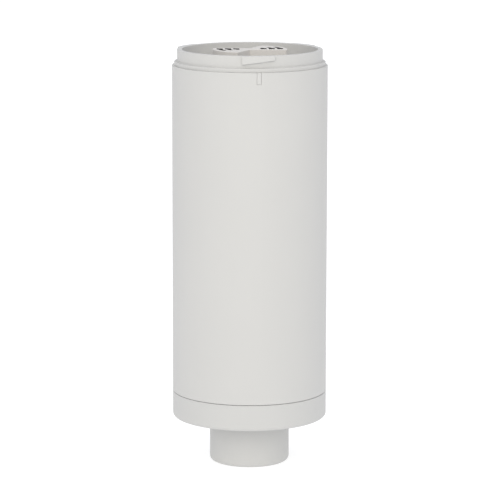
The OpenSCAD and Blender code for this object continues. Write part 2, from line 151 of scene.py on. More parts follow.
def lathe(name, profile, segs=192, axis="Z", at=(0, 0, 0)):
    """Full turn of a closed profile. Points on the axis become a pole."""
    verts, faces = [], []
    n = len(profile)
    poles = {}
    index = []
    for i in range(segs):
        th = 2 * pi * i / segs
        row = []
        for k, (r, z) in enumerate(profile):
            if abs(r) < 1e-7:
                if k not in poles:
                    poles[k] = len(verts)
                    verts.append((0, 0, z))
                row.append(poles[k])
            else:
                row.append(len(verts))
                verts.append((r * cos(th), r * sin(th), z))
        index.append(row)
    for i in range(segs):
        j = (i + 1) % segs
        for k in range(n):
            q = (k + 1) % n
            f = []
            for v in (index[i][k], index[j][k], index[j][q], index[i][q]):
                if v not in f:
                    f.append(v)
            if len(f) >= 3:
                faces.append(tuple(f))
    if axis == "Y":
        verts = [(x, z, -y) for x, y, z in verts]
    elif axis == "-Y":
        verts = [(x, -z, y) for x, y, z in verts]
    elif axis == "X":
        verts = [(z, y, -x) for x, y, z in verts]
    elif axis == "-Z":
        verts = [(x, -y, -z) for x, y, z in verts]
    verts = [(x + at[0], y + at[1], z + at[2]) for x, y, z in verts]
    return to_object(name, verts, faces)


def prism(name, outline, z0, z1, holes=()):
    """Straight extrusion of a closed outline in the XY plane."""
    n = len(outline)
    verts = [(x, y, z0) for x, y in outline] + [(x, y, z1) for x, y in outline]
    faces = [tuple(range(n))[::-1], tuple(range(n, 2 * n))]
    faces += [(i, (i + 1) % n, n + (i + 1) % n, n + i) for i in range(n)]
    ob = to_object(name, verts, faces)
    for h in holes:
        cut(ob, prism(name + "_cut", h, z0 - 1, z1 + 1))
    return ob


def cuboid(name, x0, x1, y0, y1, z0, z1):
    return prism(name, [(x0, y0), (x1, y0), (x1, y1), (x0, y1)], z0, z1)


def apply_modifiers(ob):
    bpy.context.view_layer.update()
    deps = bpy.context.evaluated_depsgraph_get()
    me = bpy.data.meshes.new_from_object(ob.evaluated_get(deps))
    ob.modifiers.clear()
    old = ob.data
    ob.data = me
    bpy.data.meshes.remove(old)


def boolean(ob, other, op):
    m = ob.modifiers.new("b", "BOOLEAN")
    m.operation = op
    m.solver = "EXACT"
    m.object = other
    apply_modifiers(ob)
    me = other.data
    bpy.data.objects.remove(other)
    bpy.data.meshes.remove(me)
    return ob


def cut(ob, other):
    return boolean(ob, other, "DIFFERENCE")


def add(ob, other):
    return boolean(ob, other, "UNION")


def clean(ob, dist=0.002):
    bm = bmesh.new()
    bm.from_mesh(ob.data)
    bmesh.ops.remove_doubles(bm, verts=bm.verts, dist=dist * MM)
    bmesh.ops.dissolve_degenerate(bm, edges=bm.edges, dist=dist * MM * 0.5)
    bm.to_mesh(ob.data)
    bm.free()
    ob.data.update()


def join(name, obs):
    """Several closed solids as one piece."""
    verts, faces = [], []
    for o in obs:
        base = len(verts)
        verts += [tuple(v.co / MM) for v in o.data.vertices]
        faces += [tuple(base + i for i in p.vertices) for p in o.data.polygons]
    for o in obs:
        me = o.data
        bpy.data.objects.remove(o)
        bpy.data.meshes.remove(me)
    return to_object(name, verts, faces)


def move(ob, matrix):
    ob.data.transform(matrix)
    ob.data.update()
    return ob


def T(x, y, z):
    return Matrix.Translation((x * MM, y * MM, z * MM))


def RZ(deg):
    return Matrix.Rotation(radians(deg), 4, "Z")


def copies(name, ob, matrices):
    obs = []
    for i, m in enumerate(matrices):
        me = ob.data.copy()
        o = bpy.data.objects.new(f"{name}_c{i}", me)
        scene.collection.objects.link(o)
        me.transform(m)
        obs.append(o)
    me = ob.data
    bpy.data.objects.remove(ob)
    bpy.data.meshes.remove(me)
    return join(name, obs)


def finish_mesh(ob, angle=32, bevel=0.0, segments=2, bevel_angle=35):
    """Edge rounding where asked, smooth shading with sharp edges kept, weighted normals."""
    me = ob.data
    if bevel:
        b = ob.modifiers.new("edge", "BEVEL")
        b.width = bevel * MM
        b.segments = segments
        b.limit_method = "ANGLE"
        b.angle_limit = radians(bevel_angle)
        b.use_clamp_overlap = True
        b.miter_outer = "MITER_ARC"
        apply_modifiers(ob)
        me = ob.data
    me.shade_smooth()
    me.set_sharp_from_angle(angle=radians(angle))
    w = ob.modifiers.new("normals", "WEIGHTED_NORMAL")
    w.keep_sharp = True
    w.weight = 50
    return ob


MATS = {}


def give(ob, node, material=None):
    """The piece stands for a CAD node, rides with its body and takes its slot's material."""
    ob.name = node + "_look"
    ob.data.name = ob.name
    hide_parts(node)
    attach(ob, BODY_OF[node])
    ob.data.materials.clear()
    ob.data.materials.append(material or MATS[SLOT_OF[node]])
    return ob


# ---------------------------------------------------------------- materials
def node_tree(name):
    m = bpy.data.materials.new(name)
    m.use_nodes = True
    nt = m.node_tree
    nt.nodes.clear()
    out = nt.nodes.new("ShaderNodeOutputMaterial")
    bsdf = nt.nodes.new("ShaderNodeBsdfPrincipled")
    nt.links.new(bsdf.outputs["BSDF"], out.inputs["Surface"])
    coord = nt.nodes.new("ShaderNodeTexCoord")
    return m, nt, bsdf, coord.outputs["Object"]


def noise(nt, vec, scale, detail=3.0, rough=0.55, dist=0.0):
    n = nt.nodes.new("ShaderNodeTexNoise")
    n.inputs["Scale"].default_value = scale
    n.inputs["Detail"].default_value = detail
    n.inputs["Roughness"].default_value = rough
    n.inputs["Distortion"].default_value = dist
    nt.links.new(vec, n.inputs["Vector"])
    return n.outputs["Fac"]


def stretched(nt, vec, scale):
    m = nt.nodes.new("ShaderNodeMapping")
    m.inputs["Scale"].default_value = scale
    nt.links.new(vec, m.inputs["Vector"])
    return m.outputs["Vector"]


def ranged(nt, val, a, b, lo_, hi_):
    m = nt.nodes.new("ShaderNodeMapRange")
    m.inputs["From Min"].default_value = a
    m.inputs["From Max"].default_value = b
    m.inputs["To Min"].default_value = lo_
    m.inputs["To Max"].default_value = hi_
    nt.links.new(val, m.inputs["Value"])
    return m.outputs["Result"]


def ramp(nt, val, stops):
    r = nt.nodes.new("ShaderNodeValToRGB")
    el = r.color_ramp.elements
    while len(el) > 1:
        el.remove(el[-1])
    el[0].position, el[0].color = stops[0][0], (*stops[0][1], 1)
    for p, c in stops[1:]:
        e = el.new(p)
        e.color = (*c, 1)
    nt.links.new(val, r.inputs["Fac"])
    return r.outputs["Color"]


def mul(nt, a, b, op="MULTIPLY"):
    m = nt.nodes.new("ShaderNodeMath")
    m.operation = op
    for i, v in enumerate((a, b)):
        if isinstance(v, (int, float)):
            m.inputs[i].default_value = v
        else:
            nt.links.new(v, m.inputs[i])
    return m.outputs[0]


def mix(nt, fac, a, b, mode="MIX"):
    m = nt.nodes.new("ShaderNodeMix")
    m.data_type = "RGBA"
    m.blend_type = mode
    for key, v in (("Factor", fac), ("A", a), ("B", b)):
        sock = [s for s in m.inputs if s.name == key and s.type == ("VALUE" if key == "Factor" else "RGBA")][0]
        if isinstance(v, (int, float)):
            sock.default_value = v
        elif isinstance(v, tuple):
            sock.default_value = (*v, 1)
        else:
            nt.links.new(v, sock)
    return [s for s in m.outputs if s.type == "RGBA"][0]


def bump(nt, bsdf, height, strength, distance_mm):
    b = nt.nodes.new("ShaderNodeBump")
    b.inputs["Strength"].default_value = strength
    b.inputs["Distance"].default_value = distance_mm * MM
    nt.links.new(height, b.inputs["Height"])
    nt.links.new(b.outputs["Normal"], bsdf.inputs["Normal"])


def scaled(c, k):
    return tuple(min(1.0, x * k) for x in c)


def moulded(name, color, rough=0.5, grain=2600.0, depth=0.012, strength=0.35, mottle=0.010, edge=0.03, specular=0.4, painted_hollow_shade=0.5):
    """Matt moulded plastic: spark-eroded grain, faint flow mottling, edges painted a little lighter as a highlight,
    hollows painted a little darker as shade.
    """
    m, nt, bsdf, vec = node_tree(name)
    big = noise(nt, vec, 22.0, 2.0)
    flow = noise(nt, stretched(nt, vec, (90.0, 90.0, 9.0)), 1.0, 3.0, 0.6)
    base = ramp(nt, big, [(0.3, scaled(color, 1 - mottle)), (0.7, scaled(color, 1 + mottle))])
    base = mix(nt, ranged(nt, flow, 0.35, 0.65, 0.0, 0.5), base, scaled(color, 1 - mottle * 1.2))
    geo = nt.nodes.new("ShaderNodeNewGeometry")
    # painted highlight: where pointiness is high (edges) the colour is lightened by up to 9%, in proportion to the edge
    # amount
    highlight_mask = ranged(nt, geo.outputs["Pointiness"], 0.515, 0.60, 0.0, 1.0)
    base = mix(nt, mul(nt, highlight_mask, edge * 10), base, scaled(color, 1.09))
    # painted shade: where pointiness is low (hollows and creases) the colour is darkened by up to 10%, in proportion to
    # the hollow shade amount
    shade_mask = ranged(nt, geo.outputs["Pointiness"], 0.40, 0.485, 1.0, 0.0)
    base = mix(nt, mul(nt, shade_mask, painted_hollow_shade), base, scaled(color, 0.90))
    nt.links.new(base, bsdf.inputs["Base Color"])
    fine = noise(nt, vec, grain, 2.0, 0.6)
    r = ranged(nt, fine, 0.3, 0.7, rough - 0.05, rough + 0.07)
    nt.links.new(r, bsdf.inputs["Roughness"])
    bsdf.inputs["Specular IOR Level"].default_value = specular
    bsdf.inputs["IOR"].default_value = 1.49
    bump(nt, bsdf, fine, strength, depth)
    return m


def glossy(name, color, rough=0.22, mottle=0.03, grain=900.0, coat=0.0):
    m, nt, bsdf, vec = node_tree(name)
    big = noise(nt, vec, 60.0, 3.0)
    base = ramp(nt, big, [(0.3, scaled(color, 1 - mottle)), (0.7, scaled(color, 1 + mottle))])
    nt.links.new(base, bsdf.inputs["Base Color"])
    fine = noise(nt, vec, grain, 3.0, 0.6)
    nt.links.new(ranged(nt, fine, 0.3, 0.7, rough - 0.04, rough + 0.08), bsdf.inputs["Roughness"])
    bsdf.inputs["Coat Weight"].default_value = coat
    bsdf.inputs["Coat Roughness"].default_value = 0.12
    bump(nt, bsdf, fine, 0.15, 0.01)
    return m


def metal(name, color, rough=0.28, stretch=(1, 1, 1), grain=500.0, tint=None):
    m, nt, bsdf, vec = node_tree(name)
    lines = noise(nt, stretched(nt, vec, stretch), grain, 4.0, 0.65)
    spots = noise(nt, vec, 120.0, 3.0)
    base = ramp(nt, spots, [(0.3, scaled(color, 0.94)), (0.7, scaled(color, 1.04))])
    if tint:
        base = mix(nt, ranged(nt, spots, 0.45, 0.7, 0.0, 0.35), base, tint)
    nt.links.new(base, bsdf.inputs["Base Color"])
    bsdf.inputs["Metallic"].default_value = 1.0
    nt.links.new(ranged(nt, lines, 0.3, 0.7, rough - 0.07, rough + 0.12), bsdf.inputs["Roughness"])
    bump(nt, bsdf, lines, 0.18, 0.008)
    return m


def rubber(name, color):
    m, nt, bsdf, vec = node_tree(name)
    big = noise(nt, vec, 80.0, 3.0)
    base = ramp(nt, big, [(0.3, scaled(color, 0.85)), (0.72, scaled(color, 1.35))])
    nt.links.new(base, bsdf.inputs["Base Color"])
    fine = noise(nt, vec, 3200.0, 2.0)
    nt.links.new(ranged(nt, fine, 0.3, 0.7, 0.62, 0.82), bsdf.inputs["Roughness"])
    bsdf.inputs["Specular IOR Level"].default_value = 0.3
    bump(nt, bsdf, fine, 0.3, 0.01)
    return m


def board_green(name):
    """Solder mask over copper: pale tracks show through as straight lines and areas."""
    m, nt, bsdf, vec = node_tree(name)
    base_c, track_c = (0.012, 0.085, 0.035), (0.030, 0.165, 0.062)
    snap = nt.nodes.new("ShaderNodeVectorMath")
    snap.operation = "SNAP"
    snap.inputs[1].default_value = (0.00127, 0.00127, 0.00127)
    nt.links.new(vec, snap.inputs[0])
    v = nt.nodes.new("ShaderNodeTexVoronoi")
    v.feature = "F1"
    v.distance = "CHEBYCHEV"
    v.inputs["Scale"].default_value = 140.0
    nt.links.new(snap.outputs["Vector"], v.inputs["Vector"])
    lines = noise(nt, stretched(nt, snap.outputs["Vector"], (260.0, 260.0, 40.0)), 1.0, 0.0)
    t = mul(nt, ranged(nt, v.outputs["Distance"], 0.30, 0.33, 1.0, 0.0), ranged(nt, lines, 0.49, 0.51, 0.0, 1.0), "MAXIMUM")
    base = mix(nt, t, base_c, track_c)
    nt.links.new(base, bsdf.inputs["Base Color"])
    fine = noise(nt, vec, 1200.0, 2.0)
    nt.links.new(ranged(nt, fine, 0.3, 0.7, 0.26, 0.38), bsdf.inputs["Roughness"])
    b = nt.nodes.new("ShaderNodeBump")
    b.inputs["Strength"].default_value = 0.4
    b.inputs["Distance"].default_value = 0.035 * MM
    nt.links.new(t, b.inputs["Height"])
    nt.links.new(b.outputs["Normal"], bsdf.inputs["Normal"])
    return m


def stacked(name, color, pitch_mm, axis="Y"):
    """Laminated or sintered core: fine parallel lines."""
    m, nt, bsdf, vec = node_tree(name)
    w = nt.nodes.new("ShaderNodeTexWave")
    w.wave_type = "BANDS"
    w.bands_direction = axis
    w.inputs["Scale"].default_value = 1.0 / (pitch_mm * MM) / 20.0 * 3.1416
    w.inputs["Distortion"].default_value = 0.2
    nt.links.new(vec, w.inputs["Vector"])
    spots = noise(nt, vec, 300.0, 4.0)
    base = mix(nt, ranged(nt, spots, 0.4, 0.7, 0.0, 0.6), color, scaled(color, 1.8))
    nt.links.new(base, bsdf.inputs["Base Color"])
    nt.links.new(ranged(nt, spots, 0.3, 0.7, 0.45, 0.7), bsdf.inputs["Roughness"])
    bump(nt, bsdf, w.outputs["Color"], 0.35, 0.03)
    return m


def clear_glass(name):
    m, nt, bsdf, vec = node_tree(name)
    big = noise(nt, vec, 90.0, 3.0)
    nt.links.new(ramp(nt, big, [(0.3, (0.80, 0.84, 0.83)), (0.7, (0.88, 0.91, 0.90))]), bsdf.inputs["Base Color"])
    nt.links.new(ranged(nt, big, 0.3, 0.7, 0.03, 0.07), bsdf.inputs["Roughness"])
    bsdf.inputs["Transmission Weight"].default_value = 0.85
    bsdf.inputs["IOR"].default_value = 1.5
    return m


LIGHT_GREY = (0.542, 0.538, 0.526)
MATS.update({
    "housing_plastic": moulded("housing_plastic", LIGHT_GREY, rough=0.50, edge=0.012, painted_hollow_shade=0.3),
    "foot_plastic": moulded("foot_plastic", (0.530, 0.527, 0.516), rough=0.50, edge=0.012, painted_hollow_shade=0.3),
    "insulator_plastic": moulded("insulator_plastic", (0.600, 0.578, 0.553), rough=0.58, grain=1500.0, depth=0.03, strength=0.5, mottle=0.025, edge=0.02, painted_hollow_shade=0.3),
    "black_plastic": moulded("black_plastic", (0.022, 0.022, 0.024), rough=0.45, mottle=0.06),
    "black_rubber": rubber("black_rubber", (0.020, 0.020, 0.021)),
    "steel": metal("steel", (0.60, 0.61, 0.62), 0.30, tint=(0.50, 0.50, 0.56)),
    "spring_brass": metal("spring_brass", (0.74, 0.56, 0.27), 0.26, stretch=(1, 1, 0.15)),
    "brass": metal("brass", (0.72, 0.53, 0.22), 0.30),
    "copper": glossy("copper", (0.46, 0.15, 0.04), 0.24, 0.12, coat=0.6),
    "circuit_board": board_green("circuit_board"),
    "ferrite": stacked("ferrite", (0.035, 0.035, 0.038), 0.9),
    "coil_tape": glossy("coil_tape", (0.70, 0.47, 0.05), 0.30, 0.06),
    "capacitor_sleeve": glossy("capacitor_sleeve", (0.018, 0.024, 0.045), 0.24, 0.1),
    "film_plastic": glossy("film_plastic", (0.62, 0.47, 0.03), 0.30, 0.04),
    "varistor_coat": glossy("varistor_coat", (0.015, 0.10, 0.36), 0.28, 0.1),
    "anodised": metal("anodised", (0.045, 0.045, 0.048), 0.42, stretch=(1, 1, 0.1)),
    "relay_plastic": glossy("relay_plastic", (0.72, 0.24, 0.02), 0.34, 0.04),
    "terminal_grey": moulded("terminal_grey", (0.075, 0.082, 0.088), rough=0.42, mottle=0.03),
    "terminal_green": moulded("terminal_green", (0.022, 0.120, 0.060), rough=0.42, mottle=0.03),
    "aluminium": metal("aluminium", (0.78, 0.78, 0.79), 0.30),
    "glass": clear_glass("glass"),
    # near-black chamber material: painted shade standing in for the dark inside of the contact block's slots
    "chamber_painted_shade": moulded("chamber_painted_shade", (0.060, 0.058, 0.056), rough=0.62, mottle=0.05),
    "button_orange": moulded("button_orange", (0.72, 0.145, 0.018), rough=0.40, mottle=0.03),
})


# ---------------------------------------------------------------- camera, stage and light (first, they need nothing)
cam_data = bpy.data.cameras.new("camera")
cam_data.sensor_width = 36.0
cam_data.lens = 36.0 * 2788.5 / 500.0
cam_data.clip_start = 0.05
cam_data.clip_end = 60.0
cam_data.shift_x = 0.386 / 500.0
cam = bpy.data.objects.new("camera", cam_data)
scene.collection.objects.link(cam)
AZ, EL, DIST = radians(6.7), 0.172257, 1.26658
target = Vector((0, 0, 0.09736))
back = Vector((-cos(EL) * sin(AZ), -cos(EL) * cos(AZ), sin(EL)))
cam.location = target + back * DIST
cam.rotation_mode = "QUATERNION"
cam.rotation_quaternion = (-back).to_track_quat("-Z", "Y") @ Matrix.Rotation(0.00155855, 3, "Z").to_quaternion()
scene.camera = cam

scene.view_settings.view_transform = "Standard"
scene.view_settings.look = "None"
scene.view_settings.exposure = 0.0
scene.view_settings.gamma = 1.0

world = bpy.data.worlds.new("studio")
scene.world = world
world.use_nodes = True
wnt = world.node_tree
bg = wnt.nodes["Background"]
tc = wnt.nodes.new("ShaderNodeTexCoord")
sep = wnt.nodes.new("ShaderNodeSeparateXYZ")
wnt.links.new(tc.outputs["Generated"], sep.inputs[0])
up = ranged(wnt, sep.outputs["Z"], -0.1, 1.0, 0.0, 1.0)
col = ramp(wnt, up, [(0.0, (0.79, 0.80, 0.84)), (0.35, (0.90, 0.92, 0.97)), (1.0, (0.98, 1.0, 1.05))])
wnt.links.new(col, bg.inputs["Color"])
bg.inputs["Strength"].default_value = 0.83
seen = wnt.nodes.new("ShaderNodeBackground")
seen.inputs["Color"].default_value = (1.0, 1.0, 1.0, 1)
path = wnt.nodes.new("ShaderNodeLightPath")
swap = wnt.nodes.new("ShaderNodeMixShader")
wnt.links.new(path.outputs["Is Camera Ray"], swap.inputs[0])
wnt.links.new(bg.outputs[0], swap.inputs[1])
wnt.links.new(seen.outputs[0], swap.inputs[2])
wnt.links.new(swap.outputs[0], wnt.nodes["World Output"].inputs["Surface"])

floor_me = bpy.data.meshes.new("floor")
s_ = 14.0
floor_me.from_pydata([(-s_, -s_, -0.00002), (s_, -s_, -0.00002), (s_, s_, -0.00002), (-s_, s_, -0.00002)], [], [(0, 1, 2, 3)])
floor = bpy.data.objects.new("floor", floor_me)
scene.collection.objects.link(floor)
fm = bpy.data.materials.new("floor_pale")
fm.use_nodes = True
fb = fm.node_tree.nodes["Principled BSDF"]
fb.inputs["Base Color"].default_value = (0.45, 0.45, 0.45, 1)
fb.inputs["Roughness"].default_value = 0.9
fb.inputs["Specular IOR Level"].default_value = 0.1
fb.inputs["Emission Color"].default_value = (1, 1, 1, 1)
fb.inputs["Emission Strength"].default_value = 0.69
floor_me.materials.append(fm)


def softbox(name, loc, size, energy, look=(0, 0, 0.1), color=(1, 1, 1)):
    d = bpy.data.lights.new(name, "AREA")
    d.shape = "RECTANGLE"
    d.size, d.size_y = size
    d.energy = energy
    d.color = color
    o = bpy.data.objects.new(name, d)
    scene.collection.objects.link(o)
    o.location = loc
    o.rotation_mode = "QUATERNION"
    o.rotation_quaternion = (Vector(look) - Vector(loc)).to_track_quat("-Z", "Y")
    return o


softbox("front_box", (-0.45, -2.2, 1.3), (1.6, 1.6), 26.0, color=(1.0, 0.955, 0.84))
softbox("top_box", (0.1, -0.2, 2.4), (2.0, 2.0), 10.5)


# ---------------------------------------------------------------- the shell pieces
def ramp_columns():
    """Angles (degrees from the ramp's middle) and how far the ramp stands out there, 0 to 1."""
    d = RR - RC
    out = []
    edge = [(0.0, (d - 0.20) / d), (0.035, (d - 0.12) / d), (0.11, (d - 0.05) / d), (0.22, (d - 0.015) / d), (0.36, 1.0)]
    out.append((-RAMP_HALF - 0.02, 0.0))
    out += [(-RAMP_HALF + a, s) for a, s in edge]
    k = 18
    out += [(-RAMP_HALF + 0.36 + (2 * RAMP_HALF - 0.72) * i / k, 1.0) for i in range(1, k)]
    out += [(RAMP_HALF - a, s) for a, s in edge[::-1]]
    out.append((RAMP_HALF + 0.02, 0.0))
    return out


def ramp_edge(phi):
    """Height of a ramp's lower edge over the step, at an angle from its middle."""
    w = RR * sin(radians(RAMP_HALF))
    return RAMP_LOW + (RAMP_HIGH - RAMP_LOW) * (RR * sin(radians(max(-RAMP_HALF, min(RAMP_HALF, phi)))) + w) / (2 * w)


def ramp_rows(z0, edge, s, z1):
    """Outer wall of a bayonet collar from its step up to and over its rim."""
    d = RR - RC
    ze = z0 + edge
    q = 1 - s
    return [
        (RC + 0.25, z0), (RC + 0.09, z0 + 0.04), (RC + 0.02, z0 + 0.12), (RC, z0 + 0.25),
        (RC, ze - 0.06), (RC, ze),
        (RC + s * (d - 0.20), ze + q * 0.05),
        (RC + s * (d - 0.11), ze + 0.02 + q * 0.07),
        (RC + s * (d - 0.03), ze + 0.09 + q * 0.07),
        (RC + s * d, ze + 0.20 + q * 0.07),
        (RC + s * d, z1 - 0.28),
        (RC + s * d - 0.03, z1 - 0.14), (RC + s * d - 0.10, z1 - 0.04), (RC + s * d - 0.26, z1),
    ]


def column_angles(extra=()):
    """(angle in degrees from -Y, height of the ramps' lower edge there, ramp stand-out) all round."""
    rows = []
    base = ramp_columns()
    for k in range(3):
        c = RAMP_AT[k]
        for phi, s in base:
            rows.append((c + phi, ramp_edge(phi), s))
        gap = (RAMP_AT[(k + 1) % 3] - c) % 360.0 - 2 * RAMP_HALF - 0.04
        n = 62
        for i in range(1, n):
            t = i / n
            rows.append((c + RAMP_HALF + 0.02 + gap * t, RAMP_HIGH + (RAMP_LOW - RAMP_HIGH) * t, 0.0))
    for a in extra:
        rows.append((a, ramp_edge(a), 1.0))
    rows.sort()
    return rows


def make_collar():
    kw = 0.935 / 34.97
    kd = math.degrees(kw)
    marks = [-kd - 0.02, -kd, -kd + 0.10, kd - 0.10, kd, kd + 0.02]
    cols = []
    for a, phi, s in column_angles(marks):
        inside = -kd - 1e-6 <= a <= kd + 1e-6
        edge_soft = 0.08 if inside and abs(abs(a) - kd) < 1e-6 else 0.0
        kr = (34.97 - edge_soft) if inside else None
        zk0, zk1 = Z_TOP - 5.12, Z_TOP - 0.04
        wall = RI - 0.1
        if not kr:
            key = [(RI + 0.26, Z_TOP - 5.14), (wall, Z_TOP - 4.70), (wall, Z_TOP - 4.60), (wall, Z_TOP - 4.50), (wall, zk1 - 0.10), (wall, zk1)]
        else:
            key = [(RI + 0.3, Z_TOP - 5.19), (RI + 0.3, zk0 - 0.01), (kr - 0.06, zk0), (kr, zk0 + 0.08), (kr, zk1 - 0.08), (kr - 0.06, zk1)]
        prof = [
            (28.55, Z_PLATE - 2.4), (RI - 0.35, Z_PLATE - 2.4), (RI - 0.18, Z_PLATE - 2.33), (RI - 0.1, Z_PLATE - 2.15),
            (RI - 0.1, Z_TOP - 6.45), (RI - 0.02, Z_TOP - 6.33), (RI + 0.2, Z_TOP - 6.1), (RI + 0.28, Z_TOP - 6.0), (RI + 0.3, Z_TOP - 5.85),
            (RI + 0.3, Z_TOP - 5.25),
        ] + key + [
            (wall, Z_TOP - 0.005),
            (RST - 0.12, Z_TOP), (RST - 0.03, Z_TOP + 0.03), (RST, Z_TOP + 0.12),
            (RST, Z_STEP - 0.32), (RST - 0.05, Z_STEP - 0.15), (RST - 0.15, Z_STEP - 0.04), (RST - 0.32, Z_STEP),
        ] + ramp_rows(Z_STEP, phi, s, Z_RIM) + [
            (COLLAR_IN + 0.28, Z_RIM), (COLLAR_IN + 0.12, Z_RIM - 0.03), (COLLAR_IN + 0.03, Z_RIM - 0.12), (COLLAR_IN, Z_RIM - 0.28),
            (COLLAR_IN, Z_PLATE + 0.05), (COLLAR_IN - 0.05, Z_PLATE),
            (28.55, Z_PLATE), (28.37, Z_PLATE - 0.07), (28.3, Z_PLATE - 0.25), (28.3, Z_PLATE - 2.15), (28.37, Z_PLATE - 2.33),
        ]
        cols.append((radians(a - 90.0), prof))
    ob = columns_mesh("collar", cols)
    for deg in (30, 150, 270):
        boss = lathe("boss", fillet([(1.3, Z_PLATE - 9.0), (3.1, Z_PLATE - 9.0, 0.3), (3.1, Z_PLATE - 0.02), (1.3, Z_PLATE - 0.02)], 0.0), 48)
        move(boss, T(26 * cos(radians(deg)), 26 * sin(radians(deg)), 0))
        add(ob, boss)
        rib = cuboid("rib", 28.2, 29.4, -1.5, 1.5, Z_PLATE - 2.39, Z_PLATE - 0.03)
        add(ob, move(rib, RZ(deg)))
        hole = lathe("hole", [(0, Z_PLATE - 8.0), (1.3, Z_PLATE - 8.0), (1.3, Z_PLATE + 2), (0, Z_PLATE + 2)], 32)
        cut(ob, move(hole, T(26 * cos(radians(deg)), 26 * sin(radians(deg)), 0)))
    clean(ob)
    return give(finish_mesh(ob, 40), "bayonet_collar")


def make_tube():
    prof = fillet([
        (SKIRT, Z_SEAM + SEAM_GAP, 0.12), (R, Z_SEAM + SEAM_GAP, 0.2), (R, Z_TOP, 0.18), (RI, Z_TOP, 0.15),
        (RI, Z_TOP - 4.5, 0), (RI + 0.45, Z_TOP - 5.0, 0.1), (RI + 0.45, Z_TOP - 6.2, 0.1), (RI, Z_TOP - 6.7, 0),
        (RI, FLANGE + 1.8, 0.5), (30.6, FLANGE + 1.8, 0.2), (30.6, FLANGE, 0.2), (SKIRT, FLANGE, 0.3)], 0.2, 4)
    ob = lathe("tube", prof, 256)
    slot = cuboid("slot", -1.015, 1.015, -R - 1, -RI + 1, Z_TOP - 5.2, Z_TOP + 1)
    cut(ob, slot)
    for k in range(3):
        a0, a1 = -12.4 + RAMP_AT[k], -3.6 + RAMP_AT[k]
        n = 10
        th = [radians(a0 + (a1 - a0) * i / n - 90) for i in range(n + 1)]
        outline = [((RC + 0.15) * cos(t), (RC + 0.15) * sin(t)) for t in th] + [((SKIRT + 0.3) * cos(t), (SKIRT + 0.3) * sin(t)) for t in th[::-1]]
        lug = prism("lug", outline[::-1], FOOT_STEP, FOOT_STEP + 1.51)
        bm = bmesh.new(); bm.from_mesh(lug.data); bmesh.ops.recalc_face_normals(bm, faces=bm.faces); bm.to_mesh(lug.data); bm.free()
        add(ob, lug)
    clean(ob)
    return give(finish_mesh(ob, 40), "housing_tube")


def make_foot():
    cols = []
    for a, phi, s in column_angles():
        outer = fillet([
            (RB + 0.8, 0, 0.25), (RS, 0, 2.5), (RS, Z_CAP, 0.5), (R, Z_CAP, 1.6), (R, Z_SEAM, 0.28), (RST, Z_SEAM, 0.0),
            (RST, FOOT_STEP, 0.3)], 0.2, 6)
        inner = fillet([
            (COLLAR_IN, FOOT_RIM, 0.25), (COLLAR_IN, 23.6, 0.8), (16.6, 23.6, 0.5), (16.6, 26.6, 0.4), (10.3, 26.6, 0.2), (10.3, 25.2, 0.1),
            (11.6, 25.2, 0.1), (11.6, 24.0, 0.1), (RB, 24.0, 0.2), (RB, 0.8, 0.15)], 0.2, 4)
        cols.append((radians(a - 90.0), outer + ramp_rows(FOOT_STEP, phi, s, FOOT_RIM) + inner))
    ob = columns_mesh("foot", cols)
    for a in range(30, 360, 60):
        rib = cuboid("rib", 16.2, COLLAR_IN + 0.2, -0.8, 0.8, 23.4, 27.0)
        add(ob, move(rib, RZ(a)))
    hole = lathe("hole", [(0, 0), (3.3, 0), (3.3, RS - 0.55 - (RB - 2)), (3.75, RS + 0.3 - (RB - 2)), (3.75, 12), (0, 12)], 64, "Y", (0, RB - 2, 10.5))
    cut(ob, hole)
    clean(ob)
    return give(finish_mesh(ob, 40), "tube_foot")


make_collar()
make_tube()
make_foot()


# ---------------------------------------------------------------- contact block
def clip(poly, nx, ny, c):
    """Part of a polygon where nx * x + ny * y <= c."""
    out = []
    for i in range(len(poly)):
        p, q = poly[i], poly[(i + 1) % len(poly)]
        dp, dq = nx * p[0] + ny * p[1] - c, nx * q[0] + ny * q[1] - c
        if dp <= 0:
            out.append(p)
        if (dp < 0 < dq) or (dq < 0 < dp):
            t = dp / (dp - dq)
            out.append((p[0] + (q[0] - p[0]) * t, p[1] + (q[1] - p[1]) * t))
    return out


def lobe_outline():
    """Both lobes as one outline: two three-quarter sectors joined at the hub."""
    r = 16.8
    d1, d2 = radians(-8.0), radians(60.4)
    f, g = 3.3, 1.25
    u1 = (cos(d1), sin(d1)); n1 = (-sin(d1), cos(d1))      # front line: along u1, at -f on n1
    u2 = (cos(d2), sin(d2)); n2 = (-sin(d2), cos(d2))      # side line: along u2, at +g on n2
    t1 = sqrt(r * r - f * f)
    p_front = (u1[0] * t1 - n1[0] * f, u1[1] * t1 - n1[1] * f)
    t2 = sqrt(r * r - g * g)
    p_side = (u2[0] * t2 + n2[0] * g, u2[1] * t2 + n2[1] * g)
    a0 = math.atan2(p_front[1], p_front[0])
    a1 = math.atan2(p_side[1], p_side[0])
    n = 40
    arc_pts = [(r * cos(a0 + (a1 - a0) * i / n), r * sin(a0 + (a1 - a0) * i / n)) for i in range(n + 1)]
    # the front line of one lobe meets the side line of the other, turned by 180 degrees
    # p = u1 * t - n1 * f  and  p . n2 = -g
    den = u1[0] * n2[0] + u1[1] * n2[1]
    t = (-g + f * (n1[0] * n2[0] + n1[1] * n2[1])) / den
    corner = (u1[0] * t - n1[0] * f, u1[1] * t - n1[1] * f)
    half = [(corner[0], corner[1], 1.0), (arc_pts[0][0], arc_pts[0][1], 1.1)] + [(x, y, 0) for x, y in arc_pts[1:-1]] + [(arc_pts[-1][0], arc_pts[-1][1], 1.1)]
    other = [(-p[0], -p[1], p[2]) for p in half]
    return half + other


def band(r, w, a0, a1, n=14):
    """Arc-shaped slot outline, angles in degrees, with rounded ends' corners."""
    t = [radians(a0 + (a1 - a0) * i / n) for i in range(n + 1)]
    out = [((r - w / 2) * cos(q), (r - w / 2) * sin(q)) for q in t]
    inn = [((r + w / 2) * cos(q), (r + w / 2) * sin(q)) for q in t[::-1]]
    return (out + inn)[::-1]


